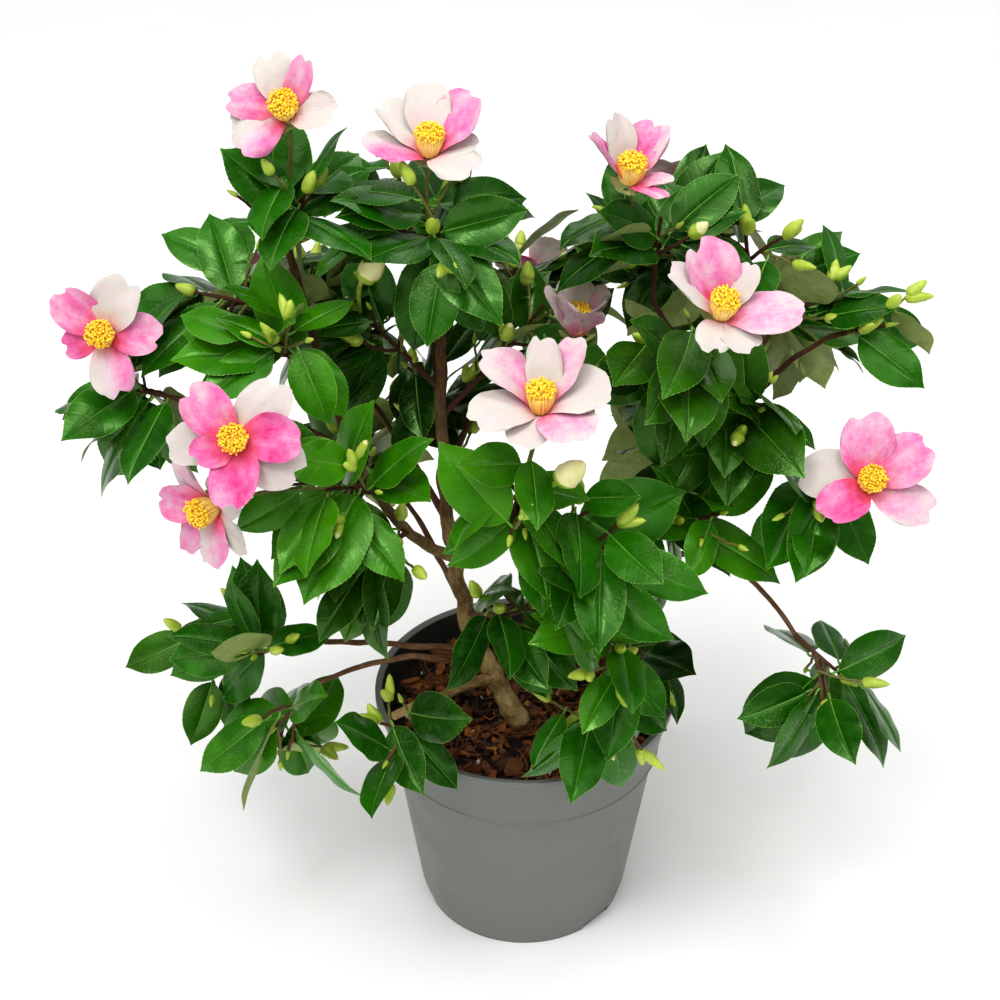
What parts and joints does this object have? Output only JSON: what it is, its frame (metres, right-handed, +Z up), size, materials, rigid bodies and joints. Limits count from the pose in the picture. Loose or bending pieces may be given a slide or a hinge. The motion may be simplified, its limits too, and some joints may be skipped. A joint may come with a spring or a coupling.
{
  "type": "potted camellia shrub",
  "caption": "Evergreen camellia shrub in bloom, growing in a round grey nursery pot filled with bark mulch.",
  "frame": {"origin": "centre of the pot's flat underside", "axes": "+Z up along the pot's axis, -Y towards the side with most blooms, +X to the right seen from there"},
  "size_m": [0.5584, 0.4181, 0.6315],
  "materials": {
    "pot": "matt grey moulded plastic",
    "mulch": "rough damp bark chips",
    "bark": "rough brown bark",
    "foliage": "glossy leaves and soft petals"
  },
  "bodies": {
    "root": {"pot": "pot", "bark_mulch": "mulch", "trunk": "bark", "stem_right": "bark", "stem_left": "bark", "cut_branch": "bark", "bough_left_tip": "bark", "bough_front": "bark", "bough_low_front": "bark", "bough_right_lobe": "bark", "bough_right_hang": "bark", "bough_right_outer": "bark", "bough_top_right": "bark", "bough_low_left": "bark", "bough_left_bottom": "bark", "bough_back_top": "bark", "bough_back_left": "bark", "bough_back_mid": "bark", "bough_back_right": "bark", "bough_back_low_left": "bark", "bough_back_low_right": "bark", "leaves_crown_top": "foliage", "leaves_top_left": "foliage", "leaves_left_upper": "foliage", "leaves_left_tip": "foliage", "leaves_left_mid": "foliage", "leaves_mid_upper": "foliage", "leaves_mid_left": "foliage", "leaves_mid_back": "foliage", "leaves_mid_low_left": "foliage", "leaves_centre_right": "foliage", "leaves_right_centre": "foliage", "leaves_top_right": "foliage", "leaves_top_right_outer": "foliage", "leaves_right_upper": "foliage", "leaves_right_outer": "foliage", "leaves_right_mid": "foliage", "leaves_right_lobe": "foliage", "leaves_centre": "foliage", "leaves_centre_low": "foliage", "leaves_low_mid": "foliage", "leaves_low_right_mid": "foliage", "leaves_right_low": "foliage", "leaves_right_hang": "foliage", "leaves_low_left": "foliage", "leaves_far_left_low": "foliage", "leaves_left_bottom": "foliage", "leaves_bottom_left": "foliage", "leaves_bottom_right": "foliage", "leaves_low_right_back": "foliage", "leaves_back_top_left": "foliage", "leaves_back_top_right": "foliage", "leaves_back_left": "foliage", "leaves_back_mid": "foliage", "leaves_back_right": "foliage", "leaves_back_low_left": "foliage", "leaves_back_low_right": "foliage"}
  },
  "joints": []
}
